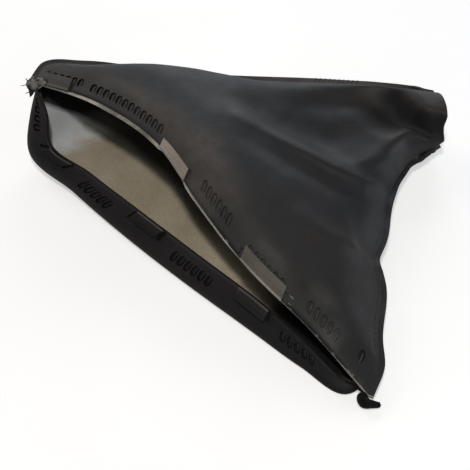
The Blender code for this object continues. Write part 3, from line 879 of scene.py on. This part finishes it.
def clip_plate(name, node, lip, middle, length, finish, edge, left_height=1.0, reach=1.0):
    """One plate, swept along the lip, with its edges eased; its left end may stand lower."""
    places = np.linspace(middle - length / 2, middle + length / 2, CLIP_RINGS)
    stand = np.linspace(left_height, 1.0, CLIP_RINGS)[:, None]
    under = lip.at(places, 0.0, 0.0)
    across = unit(lip.at(places, 7.0, 0.0) - under)
    rise = unit(lip.at(places, 0.0, 1.0) - under)
    across, rise = (np.broadcast_to(unit(v.mean(axis=0)), under.shape) for v in (across, rise))
    width = reach * (0.4 + 0.6 * stand)
    rings = np.array([under + across * w * width + rise * h * stand for w, h in CLIP_PROFILE])
    rings = rings.transpose(1, 0, 2)
    count = len(CLIP_PROFILE)
    faces = []
    for i in range(len(places) - 1):
        for j in range(count):
            a, b = i * count + j, i * count + (j + 1) % count
            faces.append((a, b, b + count, a + count))
    last = (len(places) - 1) * count
    faces += [tuple(reversed(range(count))), tuple(last + j for j in range(count))]
    # The face along the lip takes the second finish, its painted highlight
    by_lip = [int(n % count == HIGHLIGHT_FACE and n < len(faces) - 2) for n in range(len(faces))]
    obj = closed_piece(name, rings.reshape(-1, 3), faces, by_lip, smooth=False)
    ease = obj.modifiers.new("eased edges", "BEVEL")
    ease.width = CLIP_EASE
    ease.segments = 2
    ease.limit_method = "ANGLE"
    ease.angle_limit = math.radians(30)
    obj.data.materials.append(finish)
    obj.data.materials.append(edge)
    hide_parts(node)
    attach(obj, "root")


# Lighter finishes for the clip faces along the lip: painted highlights
pale_rim_highlight = moulded_plastic("clip_rim_painted_highlight", (134, 127, 118), (178, 170, 160))
dark_rim_highlight = moulded_plastic("dark_clip_rim_painted_highlight", (58, 53, 51), (84, 78, 74))
# Plate tones differ clip by clip, from black to pale grey
pale_plate = moulded_plastic("pale_clip", (128, 120, 111), (158, 149, 139))
grey_plate = moulded_plastic("grey_clip", (84, 79, 73), (108, 102, 94))
black_plate = moulded_plastic("black_clip", (48, 48, 48), (66, 65, 64))
dark_plate = moulded_plastic("dark_clip", (15, 14, 15), (24, 22, 23))
# Each with its middle along the lip, its length, its finishes, its left height and its reach
UPPER_CLIPS = (
    (13.0, 20.0, black_plate, grey_plate, 1.0, 1.12),
    (98.0, 23.0, pale_plate, pale_rim_highlight, 0.6, 1.0),
    (171.5, 27.0, grey_plate, pale_rim_highlight, 1.0, 1.2),
)
LOWER_CLIPS = ((43.0, 15.0), (106.0, 18.0), (174.0, 19.0))
for n, clip in enumerate(UPPER_CLIPS):
    clip_plate(f"upper_clip_{n + 1}", "upper_strip", upper_lip, *clip)
for n, clip in enumerate(LOWER_CLIPS):
    clip_plate(f"lower_clip_{n + 1}", "lower_strip", lower_lip, *clip, dark_plate, dark_rim_highlight)

# Painted glints. Tiny pale bluish flecks along the upper strip and its lip: painted highlights
# where the light catches it.
# Each with its place along and across the strip and its size
GLINT_SPOTS = (
    (188.9, 4.5, 0.7), (189.2, 1.6, 0.5), (190.5, 0.0, 0.6), (25.5, 0.0, 0.45),
    (147.5, 0.3, 0.55), (207.5, 0.3, 0.5), (218.5, 0.3, 0.45), (228.5, 0.3, 0.6),
    (231.0, 0.3, 0.5),
)
FLECK_CORNERS = 9
FLECK_STRETCH = 3.2


def fleck(lip, along, across, radius, seed):
    """A thin ragged flake lying on the strip."""
    draw = np.random.default_rng(seed)
    count = FLECK_CORNERS
    turn = np.linspace(0, 2 * math.pi, count, endpoint=False)
    reach = 0.7 * radius * draw.uniform(0.6, 1.25, count)
    rings = []
    for size, height in ((1.0, -0.15), (0.9, 0.06)):
        out = np.maximum(across + np.sin(turn) * reach * size, 0)
        level = np.interp(out, *zip(*STRIP_TOP)) + height
        rings.append(lip.at(along + np.cos(turn) * reach * size * FLECK_STRETCH, out, level))
    points = np.concatenate([*rings, [rings[0].mean(axis=0), rings[1].mean(axis=0)]])
    faces = []
    for j in range(count):
        k = (j + 1) % count
        faces.append((j, k, k + count, j + count))
        faces += [(k, j, 2 * count), (j + count, k + count, 2 * count + 1)]
    return points, faces


painted_glints = round_piece(
    "painted_glint_spots", [fleck(upper_lip, *spot, 40 + n) for n, spot in enumerate(GLINT_SPOTS)],
    moulded_plastic("glint_plastic", (88, 92, 100), (122, 127, 136)),
)
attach(painted_glints, "root")

# Corner tail. A short limp end of black cord at the lower right corner of the mouth.
TAIL_PATH = (
    (98.6, -10.6, 4.6), (98.6, -12.6, 3.2), (100.4, -13.6, 2.5), (103.2, -11.6, 2.0),
    (105.6, -9.2, 1.6),
)
TAIL_RADII = (1.5, 2.9, 2.7, 1.9, 1.3)
TAIL_SIDES = 16


def black_cord():
    """Dull black cord, slightly fuzzy."""
    f = Finish("black_cord", 0.9)
    f.colour(f.ramp(f.noise(500, 4, 0.6), ((0.3, (10, 9, 9)), (0.7, (24, 22, 22)))))
    f.relief((f.noise(1400, 4, 0.7), 0.7, 0.3))
    f.set(Specular_IOR_Level=0.15, Sheen_Weight=0.1)
    return f.material


def tube(path, radii, sides=10, per_span=8):
    """A round limp length through the given points, closed at both ends."""
    line = curve_through(path, per_span)
    radius = np.interp(np.linspace(0, len(path) - 1, len(line)), np.arange(len(path)), radii)
    tangent = unit(np.gradient(line, axis=0))
    first = unit(np.cross(tangent, (0.13, 0.21, 1.0)))
    second = np.cross(tangent, first)
    turn = np.linspace(0, 2 * math.pi, sides, endpoint=False)
    rings = (line[:, None] + radius[:, None, None] * (
        first[:, None] * np.cos(turn)[None, :, None] + second[:, None] * np.sin(turn)[None, :, None]))
    points = np.concatenate([rings.reshape(-1, 3), line[:1] - tangent[:1] * radius[0] * 0.6,
                             line[-1:] + tangent[-1:] * radius[-1] * 0.6])
    faces = []
    for i in range(len(line) - 1):
        for j in range(sides):
            a, b = i * sides + j, i * sides + (j + 1) % sides
            faces.append((a, b, b + sides, a + sides))
    tip = len(line) * sides
    last = tip - sides
    for j in range(sides):
        faces.append(((j + 1) % sides, j, tip))
        faces.append((last + j, last + (j + 1) % sides, tip + 1))
    return points, faces


corner_tail = round_piece("corner_tail_cord", [tube(TAIL_PATH, TAIL_RADII, TAIL_SIDES)], black_cord())
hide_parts("corner_tail")
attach(corner_tail, "root")

# Sewing thread. Dark grey polyester thread: a row of stitches along each side of both panels
# beside the seams, a few round the edge of the top seam near the collar, and the row that holds
# the lower panel's hem.
THREAD_RADIUS = 0.2
STITCH_PITCH = 3.0
STITCH_LENGTH = 2.35
STITCH_INSET = 2.6
OVER_EDGE = (153.0, 176.0)
OVER_EDGE_PITCH = 0.8 * STITCH_PITCH
THREAD_SIDES = 6


def sewing_thread():
    """Twisted thread with a slight sheen."""
    f = Finish("sewing_thread", 0.6)
    f.colour(f.ramp(f.noise(2200, 3, 0.6), ((0.3, (24, 24, 26)), (0.7, (46, 46, 48)))))
    f.relief((f.noise(5200, 3, 0.6), 0.5, 0.08))
    f.set(Specular_IOR_Level=0.4, Sheen_Weight=0.15)
    return f.material


def stitches(line, normals, first=1.5):
    """A row of single stitches along a line on the leather, their ends sunk in it."""
    along = lengths_along(line)
    parts = []
    for start in np.arange(first, along[-1] - STITCH_PITCH, STITCH_PITCH):
        places = start + np.array([0.0, 0.3, 1.0, STITCH_LENGTH - 0.3, STITCH_LENGTH])
        rise = np.array([-0.3, 0.0, 0.06, 0.0, -0.3])
        points = read_at(places, along, line) + unit(read_at(places, along, normals)) * rise[:, None]
        parts.append(tube(points, (THREAD_RADIUS,) * 5, THREAD_SIDES, 2))
    return parts


def over_edge(line, out, normals):
    """Slanting stitches that go round the edge of a seam margin."""
    along = lengths_along(line)
    parts = []
    for start in np.arange(OVER_EDGE[0], OVER_EDGE[1], OVER_EDGE_PITCH):
        place, way, up = (read_at([start], along, v)[0] for v in (line, out, normals))
        run = read_at([start + 1.0], along, line)[0] - place
        points = [place + way * w + up * h + run * r for w, h, r in (
            (0.5, -0.3, 0.0), (0.8, 0.25, 0.15), (SEAM_MARGIN - 0.3, 0.3, 0.6),
            (SEAM_MARGIN + 0.35, -0.2, 0.8), (SEAM_MARGIN + 0.2, -1.0, 1.0))]
        parts.append(tube(np.array(points), (THREAD_RADIUS,) * 5, THREAD_SIDES, 2))
    return parts


thread = sewing_thread()
for name, body, ends, side in (
    ("upper", upper_body, upper_ends, 1), ("lower", lower_body, lower_ends, -1),
):
    normals = outward(body, side)
    rows = slice(len(BAND) + 2, len(body) - 1)
    parts = []
    for edge, step, out, level in ((0, 1, TOP_OUT, ends[0]), (-1, -1, RIGHT_OUT, ends[1])):
        inset = np.linalg.norm(body[:, edge] - body[:, edge + step * 3], axis=1)
        share = (STITCH_INSET / np.maximum(inset, 0.5))[:, None]
        line = body[:, edge] * (1 - share) + body[:, edge + step * 3] * share
        parts += stitches(line[rows], normals[rows, edge + step * 3])
        if side > 0 and edge == 0:
            way = unit(read_at(level, np.arange(len(out)), out))
            parts += over_edge(body[:, 0], way, normals[:, 0])
    if side < 0:
        hem_row = len(body) - RIM_ROWS - 1
        parts += stitches(body[hem_row, 6:-6], normals[hem_row, 6:-6])
    seam_thread = round_piece(f"{name}_thread", parts, thread)
    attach(seam_thread, "root")

# Torn corner. At the left end of the mouth the raw leather is torn and folded back over the end
# of the upper strip, and a few stiff ends of thread stand out from it.
TORN_NET = np.array([
    ((-134.2, -21.3, 41.4), (-133.6, -17.7, 42.9), (-130.8, -15.2, 43.4), (-125.3, -14.2, 44.4)),
    ((-132.4, -22.9, 40.9), (-130.7, -20.3, 43.0), (-128.1, -17.8, 43.9), (-123.8, -16.3, 44.6)),
    ((-131.4, -22.5, 38.0), (-130.1, -21.3, 40.0), (-127.7, -20.0, 41.6), (-124.7, -19.0, 42.4)),
    ((-130.5, -22.8, 34.0), (-129.4, -22.0, 35.5), (-128.4, -21.0, 37.8), (-127.0, -20.5, 40.0)),
], float)
LOOSE_ENDS = (
    ((-131.4, -20.7, 41.0), (-132.8, -23.2, 41.0), (-134.2, -25.2, 40.6)),
    ((-130.1, -22.2, 38.0), (-130.8, -23.8, 37.4), (-131.6, -24.6, 37.0)),
    ((-133.1, -20.6, 41.5), (-135.0, -20.8, 42.2), (-136.0, -20.2, 42.0)),
)
LOOSE_END_RADII = (0.36, 0.23, 0.1)
TORN_COLUMNS = 37
TORN_ROWS = 33
TORN_THICKNESS = 0.5
TORN_UNEVEN = (0.16, 5.0, 21)


def torn_leather():
    """Grey raw leather with black grain still on it in patches, and black below a level along its
    lower part.
    """
    f = Finish("torn_leather", 0.85)
    pale = f.ramp(f.noise(500, 4, 0.6), ((0.3, (98, 97, 96)), (0.7, (146, 145, 142))))
    patches = f.spread(f.noise(210, 3, 0.6, 0.6), 0.5, 0.6, 0.0, 0.92)
    parts = f.add("ShaderNodeSeparateXYZ")
    f.join(f.place, parts.inputs[0])
    wavy = f.spread(f.noise(300), 0.3, 0.7, -0.0006, 0.0006)
    low = f.spread(f.maths("ADD", parts.outputs["Z"], wavy), 0.0388, 0.0402, 0.95, 0.0)
    f.colour(f.blend(f.maths("MAXIMUM", patches, low), pale, (26, 25, 26)))
    f.relief((f.noise(900, 3, 0.6), 0.4, 0.15))
    f.set(Specular_IOR_Level=0.25)
    return f.material


def spread_over(points, count):
    """A number of points spread over a smooth curve through the given ones."""
    line = curve_through(points)
    return read_at(np.linspace(0, len(line) - 1, count), np.arange(len(line)), line)


torn = np.array([spread_over(row, TORN_COLUMNS) for row in TORN_NET])
torn = np.array([spread_over(column, TORN_ROWS) for column in torn.transpose(1, 0, 2)])
torn = torn.transpose(1, 0, 2)
torn_out = outward(torn, 1)
torn_out *= np.sign(torn_out[TORN_ROWS // 2, TORN_COLUMNS // 2, 2])
uneven_height, wave, seed = TORN_UNEVEN
torn += torn_out * (uneven_height * ripple(torn, wave, seed))[..., None]
torn_corner = slab("torn_corner", torn, torn - torn_out * TORN_THICKNESS)
torn_corner.data.materials.append(torn_leather())
torn_corner.data.polygons.foreach_set("material_index", [0] * len(torn_corner.data.polygons))
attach(torn_corner, "root")
loose_ends = round_piece("loose_ends", [tube(path, LOOSE_END_RADII, 7) for path in LOOSE_ENDS], thread)
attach(loose_ends, "root")

# Table, lights and camera. A plain pale table top runs far past the gaiter. A small warm lamp
# and a weak one beside it hang over the camera's side, and three broad soft lamps stand to the
# left, behind and to the right.
LOOK_AT = Vector((0.016362, -0.051144, 0.020))
CAMERA_BACK = Vector((0.4970, -0.4481, 0.7431))
CAMERA_DISTANCE = 0.62
TABLE_HALF = 6.0
TABLE_LEVEL = -0.0003
TABLE_GLOW = 0.52
# Each with its place, its side in metres, its power in watts and its colour
LAMPS = {
    "key_lamp": ((0.293, -0.342, 0.953), 0.08, 4.3, (1.0, 0.95, 0.88)),
    "fill_lamp": ((0.42, -0.42, 0.90), 0.10, 0.5, (0.85, 0.94, 1.0)),
    "left_lamp": ((-1.043, -0.014, 0.563), 0.6, 3.4, (1.0, 0.93, 0.87)),
    "back_lamp": ((-0.688, 0.789, 0.488), 0.6, 3.5, (0.84, 0.92, 1.0)),
    "right_lamp": ((0.836, 0.769, 0.311), 0.6, 3.9, (0.80, 0.89, 1.0)),
}


def table_top():
    """Pale matt board that shows nearly white to the camera and keeps the shadow."""
    f = Finish("pale_table", 0.9)
    grain = f.ramp(f.noise(9, 3, 0.5), ((0.3, (214, 214, 214)), (0.7, (220, 220, 220))))
    f.colour(grain)
    f.set(Specular_IOR_Level=0.1)
    glow = f.add("ShaderNodeEmission")
    glow.inputs["Color"].default_value = (1, 1, 1, 1)
    seen = f.add("ShaderNodeLightPath").outputs["Is Camera Ray"]
    f.join(f.maths("MULTIPLY", seen, TABLE_GLOW), glow.inputs["Strength"])
    both = f.add("ShaderNodeAddShader")
    f.join(f.shader.outputs[0], both.inputs[0])
    f.join(glow.outputs[0], both.inputs[1])
    f.join(both.outputs[0], f.tree.nodes["Material Output"].inputs["Surface"])
    return f.material


table_mesh = bpy.data.meshes.new("table")
corners = [(x * TABLE_HALF, y * TABLE_HALF, 0) for x, y in ((-1, -1), (1, -1), (1, 1), (-1, 1))]
table_mesh.from_pydata(corners, [], [(0, 1, 2, 3)])
table = bpy.data.objects.new("table", table_mesh)
table.location.z = TABLE_LEVEL
table_mesh.materials.append(table_top())
bpy.context.scene.collection.objects.link(table)

for name, (place, size, power, colour) in LAMPS.items():
    light = bpy.data.lights.new(name, "AREA")
    light.size = size
    light.energy = power
    light.color = colour
    lamp = bpy.data.objects.new(name, light)
    lamp.location = place
    lamp.rotation_euler = (LOOK_AT - Vector(place)).to_track_quat("-Z", "Y").to_euler()
    bpy.context.scene.collection.objects.link(lamp)

world = bpy.data.worlds.new("studio")
bpy.context.scene.world = world
world.use_nodes = True
world.node_tree.nodes["Background"].inputs["Color"].default_value = (0.92, 0.95, 1.0, 1)
world.node_tree.nodes["Background"].inputs["Strength"].default_value = 0.07

lens = bpy.data.cameras.new("camera")
lens.lens = 100
lens.sensor_width = 36
camera = bpy.data.objects.new("camera", lens)
camera.location = LOOK_AT + CAMERA_BACK * CAMERA_DISTANCE
camera.rotation_euler = (-CAMERA_BACK).to_track_quat("-Z", "Y").to_euler()
bpy.context.scene.collection.objects.link(camera)
bpy.context.scene.camera = camera
bpy.context.scene.view_settings.view_transform = "Standard"
